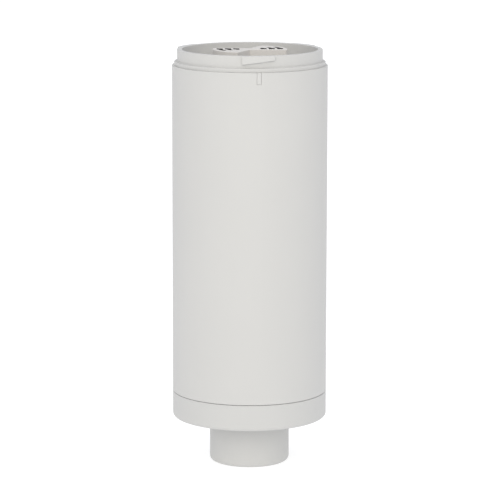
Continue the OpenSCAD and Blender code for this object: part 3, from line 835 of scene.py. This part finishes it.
def make_block():
    outline = fillet(lobe_outline(), 0.0, 5)
    block = prism("block", outline, Z_BLOCK + 1.0, Z_BTOP)
    finish_bevel(block, 0.45, 3, 60)
    base = lathe("base", fillet([(0, Z_BLOCK), (20.5, Z_BLOCK, 0.1), (20.5, Z_BLOCK + 1.8, 0.4), (0, Z_BLOCK + 1.8)], 0.0, 4), 128)
    add(block, base)
    for s in (0, 180):
        for r in ROWS:
            h = math.degrees(4.2 / 2 / r)
            g = prism("groove", band(r, 1.8, CHAMBER_MID, 30.0), Z_BTOP - 5.0, Z_BTOP + 1)
            c = prism("chamber", band(r, 2.8, CHAMBER_MID - h, CHAMBER_MID + h), Z_BLOCK - 1, Z_BTOP + 1)
            for o in (g, c):
                move(o, RZ(s))
            cut(block, g)
            cut(block, c)
    for deg in (110, 290):
        h = lathe("hole", [(0, Z_BLOCK - 1), (1.35, Z_BLOCK - 1), (1.35, Z_BLOCK + 3), (0, Z_BLOCK + 3)], 32)
        cut(block, move(h, T(17.9 * cos(radians(deg)), 17.9 * sin(radians(deg)), 0)))
    clean(block)
    ob = give(finish_mesh(block, 35, bevel=0.12, segments=2, bevel_angle=50), "contact_block")
    # painted shade: the walls and floors of the chambers and grooves take the near-black chamber material, standing in
    # for the shade deep in the slots
    walls = []
    for s in (0, 180):
        for r in ROWS:
            walls.append((r, 1.8, CHAMBER_MID + s, 30.0 + s))
            h = math.degrees(4.2 / 2 / r)
            walls.append((r, 2.8, CHAMBER_MID + s - h, CHAMBER_MID + s + h))

    def inside(c, n):
        if abs(n.z) > 0.9 and c.z > Z_BTOP - 0.4:
            return False
        if c.z > Z_BTOP - 0.16 or c.z < Z_BLOCK + 0.1:
            return False
        rad, ang = sqrt(c.x ** 2 + c.y ** 2), math.degrees(math.atan2(c.y, c.x))
        for r, w, a0, a1 in walls:
            m, half = (a0 + a1) / 2, (a1 - a0) / 2 + math.degrees(0.12 / r)
            d = (ang - m + 180) % 360 - 180
            if abs(rad - r) < w / 2 + 0.12 and abs(d) < half:
                return True
        return False

    paint(ob, MATS["chamber_painted_shade"], inside)
    return ob


def paint(ob, material, test):
    """Second material on the faces whose centre and normal (mm) pass the test."""
    ob.data.materials.append(material)
    k = len(ob.data.materials) - 1
    for f in ob.data.polygons:
        if test(f.center / MM, f.normal):
            f.material_index = k


def finish_bevel(ob, width, segments, angle):
    b = ob.modifiers.new("edge", "BEVEL")
    b.width = width * MM
    b.segments = segments
    b.limit_method = "ANGLE"
    b.angle_limit = radians(angle)
    apply_modifiers(ob)
    return ob


def make_carrier():
    prof = fillet([
        (14.9, Z_PLATE, 0.1), (30.35, Z_PLATE, 0.15), (30.35, Z_BLOCK + 1.2, 0.3), (29.0, Z_BLOCK + 1.2, 0.3), (29.0, Z_BLOCK, 0.4), (14.9, Z_BLOCK, 0.1)], 0.2, 4)
    ob = lathe("carrier", prof, 128)
    for deg in (110, 290):
        b = lathe("boss", fillet([(0, Z_PLATE - 4), (2.6, Z_PLATE - 4, 0.3), (2.6, Z_PLATE + 0.5), (0, Z_PLATE + 0.5)], 0.0), 40)
        add(ob, move(b, T(17.9 * cos(radians(deg)), 17.9 * sin(radians(deg)), 0)))
    for deg in (60, 240):
        b = lathe("post", fillet([(0, Z_CB + 1.6), (2.8, Z_CB + 1.6, 0.3), (2.8, Z_PLATE + 0.5), (0, Z_PLATE + 0.5)], 0.0), 40)
        add(ob, move(b, T(18 * cos(radians(deg)), 18 * sin(radians(deg)), 0)))
    holes = [(26 * cos(radians(a)), 26 * sin(radians(a)), 1.7, Z_PLATE - 1, 6) for a in (30, 150, 270)]
    holes += [(s * 24.5, 0, 1.7, Z_PLATE - 1, 6) for s in (-1, 1)]
    holes += [(17.9 * cos(radians(a)), 17.9 * sin(radians(a)), 1.05, Z_PLATE - 3.4, 8) for a in (110, 290)]
    holes += [(18 * cos(radians(a)), 18 * sin(radians(a)), 1.05, Z_CB + 1, 5) for a in (60, 240)]
    for x, y, r, z, h in holes:
        cut(ob, move(lathe("hole", [(0, z), (r, z), (r, z + h), (0, z + h)], 32), T(x, y, 0) @ RZ(3.3)))
    clean(ob, 0.0005)
    return give(finish_mesh(ob, 40), "contact_carrier")


make_block()
make_carrier()


# ---------------------------------------------------------------- fasteners
def threaded(name, r, depth, pitch, z0, z1, segs=32, tip=0.4):
    """Screw shank with a real helical thread, closed at both ends."""
    rows = max(8, int((z1 - z0) / pitch * 10))
    verts, faces = [], []
    for i in range(rows + 1):
        z = z0 + (z1 - z0) * i / rows
        env = min(1.0, (z - z0) / tip)
        for k in range(segs):
            th = 2 * pi * k / segs
            ph = ((z / pitch) - th / (2 * pi)) % 1.0
            t = abs(ph * 2 - 1)
            t = min(1.0, max(0.0, (t - 0.12) / 0.76))
            rr = r - depth * (1 - t)
            rr = rr - (1 - env) * (r - depth) * 0.35 * (1 if env < 1 else 0)
            verts.append((rr * cos(th), rr * sin(th), z))
    for i in range(rows):
        for k in range(segs):
            q = (k + 1) % segs
            faces.append((i * segs + k, i * segs + q, (i + 1) * segs + q, (i + 1) * segs + k))
    faces.append(tuple(range(segs))[::-1])
    faces.append(tuple(rows * segs + k for k in range(segs)))
    return to_object(name, verts, faces)


def cross_screw(name, d, length, hd, hh, pitch=None):
    """Pan head with a cross recess, underside of the head at z = 0, shank below."""
    prof = fillet([(0, -0.3), (d / 2 * 0.8, -0.3, 0), (d / 2 * 0.8, 0, 0), (hd / 2, 0, 0.08), (hd / 2, hh * 0.5, hd * 0.16), (hd / 2 * 0.45, hh * 0.98, hd * 0.1), (0, hh)], 0.1, 5)
    head = lathe(name, prof, 48)
    a, b = hd * 0.30, hd * 0.075
    depth = hh * 0.62
    cross_pts = [(a, -b), (a, b), (b, b), (b, a), (-b, a), (-b, b), (-a, b), (-a, -b), (-b, -b), (-b, -a), (b, -a), (b, -b)]
    n = len(cross_pts)
    top = [(x * 1.05, y * 1.05, hh + 0.3) for x, y in cross_pts]
    bot = [(x * 0.55, y * 0.8, hh - depth) if abs(x) > abs(y) else ((x * 0.8, y * 0.55, hh - depth) if abs(y) > abs(x) else (x * 0.8, y * 0.8, hh - depth)) for x, y in cross_pts]
    verts = bot + top
    faces = [tuple(range(n))[::-1], tuple(range(n, 2 * n))] + [(i, (i + 1) % n, n + (i + 1) % n, n + i) for i in range(n)]
    cut(head, to_object("recess", verts, faces))
    shank = threaded("shank", d / 2, d * 0.13, pitch or d * 0.4, -length, -0.02, 28)
    return join(name, [head, shank])


def screws(node, d, length, hd, hh, places):
    ob = copies(node, cross_screw(node, d, length, hd, hh), places)
    return give(finish_mesh(ob, 30), node)


screws("carrier_screws", 2.5, 8, 5.4, 1.9, [T(26 * cos(radians(a)), 26 * sin(radians(a)), Z_BLOCK) @ RZ(a * 1.3) for a in (30, 150, 270)])
screws("contact_block_screws", 2.0, 5.2, 4.4, 1.6, [T(17.9 * cos(radians(a)), 17.9 * sin(radians(a)), Z_BLOCK + 1.8) @ RZ(a) for a in (110, 290)])
screws("chassis_screws", 2.4, 8, 5.0, 1.8, [T(s * 24.5, 0, Z_BLOCK) @ RZ(20 + 31 * s) for s in (-1, 1)])
FLIP = Matrix.Rotation(pi, 4, "X")
screws("contact_board_screws", 2.0, 5, 4.4, 1.6, [T(18 * cos(radians(a)), 18 * sin(radians(a)), Z_CB) @ FLIP @ RZ(a) for a in (60, 240)])
screws("terminal_board_screws", 1.9, 4.6, 3.8, 1.4, [T(x, y, 56.4) @ FLIP @ RZ(x * 3 + y) for x, y in ((-20, 8), (20, 8), (-20, -8), (20, -8))])
BACK_Y = Matrix.Rotation(-pi / 2, 4, "X")
screws("saddle_screws", 2.0, 12, 4, 1.6, [T(s * 7, -10.6, 50.5) @ BACK_Y @ RZ(15 * s) for s in (-1, 1)])
screws("transistor_screw", 2.5, 4.2, 4.8, 1.8, [T(12, 5.1, 128) @ Matrix.Rotation(pi / 2, 4, "X") @ RZ(25)])


def make_clamp():
    cz = 10.5
    # threaded insert: two knurled bands, flange-free, threaded bore
    n = 96
    cols = []
    y0, y1 = RB + 0.3, RB + 5.1
    for i in range(n):
        kn = 0.0 if i % 2 else 0.13
        b = lambda r, k=1: r - kn * k
        prof = [(2.5, y0 + 0.2), (2.7, y0), (3.1, y0), (b(3.22), y0 + 0.1), (b(3.22), y0 + 1.4), (3.02, y0 + 1.5), (3.02, y0 + 3.2),
                (b(3.22), y0 + 3.3), (b(3.22), y1 - 0.1), (3.1, y1), (2.75, y1), (2.5, y1 - 0.25)]
        cols.append((2 * pi * i / n, prof))
    ins = columns_mesh("insert", cols)
    move(ins, T(0, 0, cz) @ Matrix.Rotation(-pi / 2, 4, "X"))
    give(finish_mesh(ins, 30), "thread_insert")
    # grub screw with hex socket
    y0, y1 = RB + 1.12, RB + 4.95
    body = threaded("grub", 2.44, 0.26, 0.8, y0, y1 - 0.02, 48, 0.5)
    hexa = [(1.443 * cos(radians(60 * i + 12)), 1.443 * sin(radians(60 * i + 12))) for i in range(6)]
    cut(body, prism("socket", hexa, y1 - 2.05, y1 + 1))
    cone = lathe("cone", [(0, y1 - 0.35), (1.25, y1 - 0.35), (1.75, y1 + 0.1), (0, y1 + 0.1)], 48)
    cut(body, cone)
    move(body, T(0, 0, cz) @ Matrix.Rotation(-pi / 2, 4, "X"))
    clean(body)
    give(finish_mesh(body, 30), "clamp_screw")
    pad = lathe("pad", fillet([(0, RB + 0.35), (2.1, RB + 0.35, 0.2), (2.1, RB + 1.1, 0.12), (0, RB + 1.1)], 0.1, 3), 48)
    move(pad, T(0, 0, cz) @ Matrix.Rotation(-pi / 2, 4, "X"))
    give(finish_mesh(pad, 30), "clamp_pad")


def make_rubbers():
    prof = fillet([(4.0, 24.1, 0.2), (11.45, 24.1, 0.15), (11.45, 25.1, 0.15), (10.2, 25.1, 0.05), (10.2, 26.65, 0.05), (12.75, 26.65, 0.25), (12.85, 27.9, 0.4),
                   (8.6, 27.9, 0.6), (6.2, 29.2, 0.8), (5.1, 31.0, 0.3), (4.0, 31.0, 0.3)], 0.1, 5)
    give(finish_mesh(lathe("grommet", prof, 96), 40), "cable_grommet")
    prof = fillet([(COLLAR_IN + 0.25, FOOT_RIM + 0.1, 0.3), (SKIRT - 0.1, FOOT_RIM + 0.1, 0.3), (SKIRT - 0.1, FLANGE, 0.15), (COLLAR_IN + 0.25, FLANGE, 0.15)], 0.1, 4)
    give(finish_mesh(lathe("gasket", prof, 160), 40), "socket_gasket")


def make_springs():
    line = [(0.675, Z_CB - 0.8), (0.675, Z_BLOCK + 1.8), (0.40, Z_BLOCK + 3.0), (-0.50, Z_BLOCK + 4.2), (-0.66, Z_BLOCK + 4.8), (-0.50, Z_BLOCK + 5.4), (0.40, Z_BLOCK + 6.6)]
    pts = []
    for i in range(len(line)):
        if i in (0, len(line) - 1):
            pts.append(Vector(line[i]))
            continue
        a, b, c = (Vector(line[j]) for j in (i - 1, i, i + 1))
        t = 0.30 if i != 4 else 0.25
        for k in range(5):
            q = k / 4
            p0 = b + (a - b).normalized() * t
            p1 = b + (c - b).normalized() * t
            pts.append((p0 * (1 - q) + b * q) * (1 - q) + (b * (1 - q) + p1 * q) * q)
    th = 0.165
    left, right = [], []
    for i, p in enumerate(pts):
        d = (pts[min(i + 1, len(pts) - 1)] - pts[max(i - 1, 0)]).normalized()
        nrm = Vector((-d.y, d.x))
        left.append(p + nrm * th)
        right.append(p - nrm * th)
    outline = left + right[::-1]
    for k in range(6):
        r = ROWS[k % 3]
        n = len(outline)
        w = 1.18
        verts = [(r + p.x, w, p.y) for p in outline] + [(r + p.x, -w, p.y) for p in outline]
        faces = [tuple(range(n)), tuple(range(n, 2 * n))[::-1]] + [(i, n + i, n + (i + 1) % n, (i + 1) % n) for i in range(n)]
        ob = to_object("leaf", verts, faces)
        bm = bmesh.new(); bm.from_mesh(ob.data); bmesh.ops.recalc_face_normals(bm, faces=bm.faces); bm.to_mesh(ob.data); bm.free()
        finish_bevel(ob, 0.05, 2, 60)
        move(ob, RZ(CHAMBER_MID + (180 if k >= 3 else 0)))
        give(finish_mesh(ob, 40), f"contact_spring_{k + 1}")


make_clamp()
make_rubbers()
make_springs()


# ---------------------------------------------------------------- pieces inside the housing
def from_cad(node, bevel=0.1, segments=2, angle=40, material=None, cuts=(), shade=35):
    """A CAD piece rebuilt with its edges rounded."""
    src = NODES[node]
    bm = bmesh.new()
    bm.from_mesh(src.data)
    bm.transform(src.matrix_world)
    bmesh.ops.remove_doubles(bm, verts=bm.verts, dist=2e-6)
    bmesh.ops.dissolve_limit(bm, angle_limit=radians(0.5), verts=bm.verts, edges=bm.edges)
    bm.verts.index_update()
    verts = [tuple(v.co / MM) for v in bm.verts]
    faces = [tuple(v.index for v in f.verts) for f in bm.faces]
    bm.free()
    ob = to_object(node + "_solid", verts, faces)
    for c in cuts:
        cut(ob, c)
    if bevel:
        finish_bevel(ob, bevel, segments, angle)
    return give(finish_mesh(ob, shade), node, material)


def rounded(name, x0, x1, y0, y1, z0, z1, r, segments=3):
    ob = cuboid(name, x0, x1, y0, y1, z0, z1)
    finish_bevel(ob, r, segments, 40)
    return ob


def wire(name, pts, r, n=10, bend=0.6):
    """Round wire along a line of points, corners rounded, ends closed."""
    pts = [Vector(p) for p in pts]
    path = [pts[0]]
    for i in range(1, len(pts) - 1):
        a, b, c = pts[i - 1], pts[i], pts[i + 1]
        t = min(bend, (a - b).length * 0.45, (c - b).length * 0.45)
        p0, p1 = b + (a - b).normalized() * t, b + (c - b).normalized() * t
        for k in range(5):
            q = k / 4
            path.append((p0 * (1 - q) + b * q) * (1 - q) + (b * (1 - q) + p1 * q) * q)
    path.append(pts[-1])
    return sweep(name, path, r, n)


def sweep(name, path, r, n=10, closed=False):
    m = len(path)
    rows = []
    up = None
    for i, p in enumerate(path):
        if closed:
            d = (path[(i + 1) % m] - path[i - 1]).normalized()
        else:
            d = (path[min(i + 1, m - 1)] - path[max(i - 1, 0)]).normalized()
        if up is None:
            up = d.orthogonal().normalized()
        up = (up - d * up.dot(d)).normalized()
        side = d.cross(up)
        rows.append([p + up * (r * cos(2 * pi * k / n)) + side * (r * sin(2 * pi * k / n)) for k in range(n)])
    verts = [tuple(v) for row in rows for v in row]
    faces = []
    for i in range(m if closed else m - 1):
        j = (i + 1) % m
        for k in range(n):
            q = (k + 1) % n
            faces.append((i * n + k, i * n + q, j * n + q, j * n + k))
    if not closed:
        faces.append(tuple(range(n))[::-1])
        faces.append(tuple((m - 1) * n + k for k in range(n)))
    return to_object(name, verts, faces)


from_cad("chassis_frame", 0.2)
from_cad("contact_board", 0.08, 2)
from_cad("main_board", 0.08, 2)
from_cad("terminal_board", 0.08, 2)
from_cad("cable_saddle", 0.35, 3)
from_cad("heat_sink", 0.15)
from_cad("fuse_clips", 0.1)
from_cad("signal_terminal", 0.18)
from_cad("mains_terminal", 0.18)
from_cad("signal_clamps", 0.05)
from_cad("mains_clamps", 0.06)
for i in range(1, 7):
    from_cad(f"signal_button_{i}", 0.14, 3)
for i in range(1, 4):
    from_cad(f"mains_button_{i}", 0.14, 3)
ob = from_cad("upper_header", 0.08)
paint(ob, MATS["brass"], lambda c, n: c.z > 166.9)
ob = from_cad("lower_header", 0.08)
paint(ob, MATS["brass"], lambda c, n: c.z < 65.9)
ob = from_cad("power_transistor", 0.1, material=MATS["black_plastic"])
paint(ob, MATS["steel"], lambda c, n: c.y > 5.12 or c.z < 113.85 or (c.y > 5.0 and c.z > 123.7))
from_cad("transformer_core", 0.35, 3, cuts=[cuboid("gap", -20, 20, -16, -6, 87.94, 88.06)])


def can(name, r, h, x, y, z):
    """Electrolytic capacitor: shrunk sleeve over the can, crimp, bare top with vent cuts."""
    prof = fillet([(0, 0.45), (r - 1.6, 0.45, 0.1), (r - 1.35, 0.0, 0.2), (r - 0.05, 0.0, 0.45), (r, 1.3, 0.5), (r - 0.5, 1.85, 0.35), (r, 2.45, 0.5),
                   (r, h, 0.55), (r - 1.05, h, 0.15), (r - 1.15, h - 0.35, 0.05), (0, h - 0.35)], 0.0, 5)
    ob = lathe(name, prof, 96)
    for a in (20, 140, 260):
        g = prism("vent", [(0.3, -0.16), (r - 2.2, -0.16), (r - 2.2, 0.16), (0.3, 0.16)], h - 0.5, h + 1)
        cut(ob, move(g, RZ(a)))
    return move(ob, T(x, y, z))


def paint_can(ob, spots):
    """Bare top and rubber bung of each capacitor; spots are (x, y, z, r, h)."""
    def top(c, n):
        return any(sqrt((c.x - x) ** 2 + (c.y - y) ** 2) < r - 1.08 and z + h - 0.6 < c.z < z + h + 0.01 for x, y, z, r, h in spots)

    def bung(c, n):
        return any(sqrt((c.x - x) ** 2 + (c.y - y) ** 2) < r - 1.5 and c.z < z + 0.6 for x, y, z, r, h in spots)
    paint(ob, MATS["aluminium"], top)
    paint(ob, MATS["black_rubber"], bung)


ob = give(finish_mesh(can("bulk", 8, 25, -11, 9.3, 108), 35), "bulk_capacitor")
paint_can(ob, [(-11, 9.3, 108, 8, 25)])
ob = give(finish_mesh(join("outs", [can("out", 5, 16, s * 8, -6, 106) for s in (-1, 1)]), 35), "output_capacitors")
paint_can(ob, [(s * 8, -6, 106, 5, 16) for s in (-1, 1)])


def make_choke():
    """Ring core with two windings of enamelled wire, standing against the board."""
    core = sweep("core", [Vector((7 * cos(radians(a)), 7 * sin(radians(a)), 0)) for a in range(0, 360, 5)], 2.65, 20, closed=True)
    obs = [core]
    for s in (0, 180):
        path = []
        turns, steps = 11, 26
        for i in range(turns * steps + 1):
            t = i / steps
            a = radians(s + 14 + 152 * t / turns)
            b = 2 * pi * t
            rr = 3.12
            path.append(Vector(((7 + rr * cos(b)) * cos(a), (7 + rr * cos(b)) * sin(a), rr * sin(b))))
        obs.append(sweep("winding", path, 0.44, 8))
    ob = join("choke", obs)
    move(ob, T(-11, 5.1, 85) @ Matrix.Rotation(pi / 2, 4, "X"))
    ob = give(finish_mesh(ob, 50), "filter_choke")

    def bare(c, n):
        q = Vector((c.x + 11, c.z - 85))
        d = sqrt((q.length - 7) ** 2 + (c.y - 5.1) ** 2)
        return d < 2.66
    paint(ob, MATS["ferrite"], bare)


make_choke()


def make_coil():
    """Bobbin with two flanges, taped winding between them, pins towards the board."""
    win = rounded("tape", -10.0, 10.0, -18.2, -3.8, 80.1, 95.9, 1.6, 5)
    flanges = [rounded("flange", -10.5, 10.5, -18.6, -3.4, z, z + 1.2, 0.3, 2) for z in (79, 95.8)]
    for f in flanges:
        add(win, f)
    cut(win, cuboid("leg", -3.6, 3.6, -15.1, -6.9, 78, 98))
    pins = [lathe("pin", fillet([(0, -3.4 - 0.0), (0.4, -3.4), (0.4, -0.8, 0.1), (0, -0.8)], 0.0, 2), 16) for _ in range(0)]
    legs = []
    for x in (-7.5, -2.5, 2.5, 7.5):
        for z in (81, 95):
            legs.append(wire("pin", [(x, -3.9, z), (x, -2.4, z), (x, -0.82, z)], 0.4, 12))
    ob = join("coil", [win] + legs)
    ob = give(finish_mesh(ob, 35), "transformer_coil")
    paint(ob, MATS["black_plastic"], lambda c, n: (c.z < 80.25 or c.z > 95.75) and c.y < -3.35)
    paint(ob, MATS["steel"], lambda c, n: c.y > -3.38)


make_coil()


def make_film():
    ob = rounded("film", 3, 21, 0.8, 10.8, 76, 91, 0.8, 4)
    cut(ob, cuboid("inset", 3.9, 20.1, 10.65, 12, 76.9, 90.1))
    give(finish_mesh(ob, 30, bevel=0.06, segments=1, bevel_angle=60), "film_capacitor")


make_film()


def make_fuse():
    caps = []
    for x0, x1, mouth in ((-20.4, -15.4, 1), (-5.6, -0.6, -1)):
        c = lathe("end", fillet([(0, x0), (2.6, x0, 0.5), (2.6, x1, 0.15), (0, x1)], 0.0, 4), 64, "X", (0, 4.6, 100))
        caps.append(c)
    glass = lathe("glass", [(0, -15.3), (2.3, -15.3), (2.3, -5.7), (0, -5.7)], 64, "X", (0, 4.6, 100))
    ob = join("fuse", caps + [glass])
    ob = give(finish_mesh(ob, 40), "fuse_link")
    paint(ob, MATS["glass"], lambda c, n: -15.39 < c.x < -5.61 and sqrt((c.y - 4.6) ** 2 + (c.z - 100) ** 2) < 2.36)


make_fuse()


def make_varistor():
    prof = fillet([(0, 0), (5.0, 0, 1.3), (5.0, 3.8, 1.3), (0, 3.8)], 0.0, 8)
    ob = lathe("disc", prof, 72)
    move(ob, T(12, 1.6, 99) @ Matrix.Rotation(-pi / 2, 4, "X"))
    give(finish_mesh(ob, 50), "varistor")


make_varistor()


def make_relays():
    obs = []
    for i in range(-2, 3):
        a = rounded("cover", i * 9 - 3, i * 9 + 3, -15.8, -1.9, 140, 160, 0.35, 3)
        b = rounded("base", i * 9 - 2.85, i * 9 + 2.85, -2.05, -0.8, 140.15, 159.85, 0.15, 2)
        add(a, b)
        cut(a, lathe("vent", [(0, -0.2), (0.45, -0.2), (0.45, 2), (0, 2)], 20, "-Y", (i * 9 + 1.7, -15.8, 157.6)))
        obs.append(a)
    ob = give(finish_mesh(join("relays", obs), 32), "channel_relays")
    paint(ob, MATS["black_plastic"], lambda c, n: c.y > -1.89)


make_relays()


def make_optos():
    obs = []
    for i in range(-2, 3):
        b = rounded("package", i * 9 - 2.3, i * 9 + 2.3, -4.4, -1.0, 128.5, 135, 0.22, 2)
        cut(b, lathe("dot", [(0, -0.2), (0.45, -0.2), (0.45, 2), (0, 2)], 20, "-Y", (i * 9 - 1.4, -4.35, 133.9)))
        obs.append(b)
    for i in range(-2, 3):
        for x in (-1.27, 1.27):
            for z0, z1 in ((127.6, 128.7), (134.8, 135.9)):
                cx = i * 9 + x
                obs.append(rounded("foot", cx - 0.25, cx + 0.25, -2.9, -0.8, z0, z1, 0.08, 1))
    ob = give(finish_mesh(join("optos", obs), 32), "optocouplers", MATS["black_plastic"])
    paint(ob, MATS["steel"], lambda c, n: c.z < 128.45 or c.z > 135.05)


make_optos()


# ---------------------------------------------------------------- what is left keeps its CAD shape and takes its material
for n, ob in NODES.items():
    if ob.hide_render:
        continue
    ob.data.materials.clear()
    ob.data.materials.append(MATS[SLOT_OF[n]])
